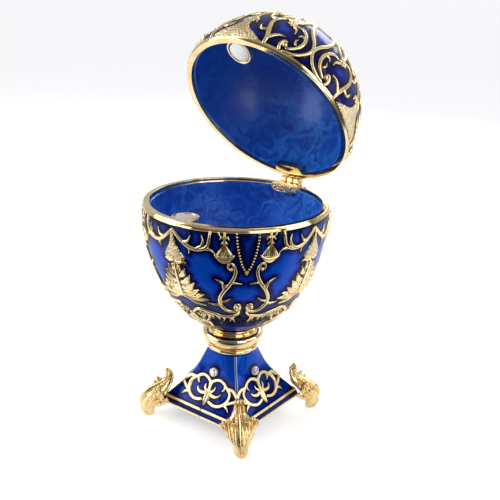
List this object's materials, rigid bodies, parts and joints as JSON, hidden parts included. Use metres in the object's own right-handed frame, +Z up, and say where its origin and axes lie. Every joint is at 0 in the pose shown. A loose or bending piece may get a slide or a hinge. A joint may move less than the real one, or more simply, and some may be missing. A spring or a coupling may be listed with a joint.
{
  "type": "egg trinket box",
  "caption": "Footed egg-shaped trinket box with hinged domed lid, raised gilt scrollwork on blue enamel, turned collar, spreading square base and leaf feet.",
  "frame": {"origin": "on the table under the middle of the open box's bounding box; the egg's axis stands 7.5 mm in front of it", "axes": "+Z up along the egg's axis; -Y to the front, where the magnets meet; +Y to the hinge; X along the hinge pin"},
  "size_m": [0.0614, 0.0763, 0.1343],
  "materials": {
    "enamel": "glossy translucent blue enamel between raised gilt scrolls on cast metal",
    "gold": "polished pale gold plating on cast metal",
    "silver": "bright plated magnet faces",
    "crystal": "clear cut crystal with silver backing"
  },
  "bodies": {
    "box": {"base": "enamel", "bowl": "enamel", "collar": "gold", "crystal_1": "crystal", "crystal_2": "crystal", "crystal_3": "crystal", "crystal_4": "crystal", "foot_1": "gold", "foot_2": "gold", "foot_3": "gold", "foot_4": "gold", "hinge_leaf_bowl": "gold", "hinge_pin": "gold", "magnet_bowl": "silver"},
    "lid": {"lid": "enamel", "hinge_leaf_lid": "gold", "magnet_lid": "silver"}
  },
  "joints": [
    {"name": "lid_hinge", "type": "hinge", "parent": "box", "child": "lid", "pos_m": [0, 0.024, 0.07705], "axis": [-1, 0, 0], "range_deg": [-54.9, 0]}
  ]
}
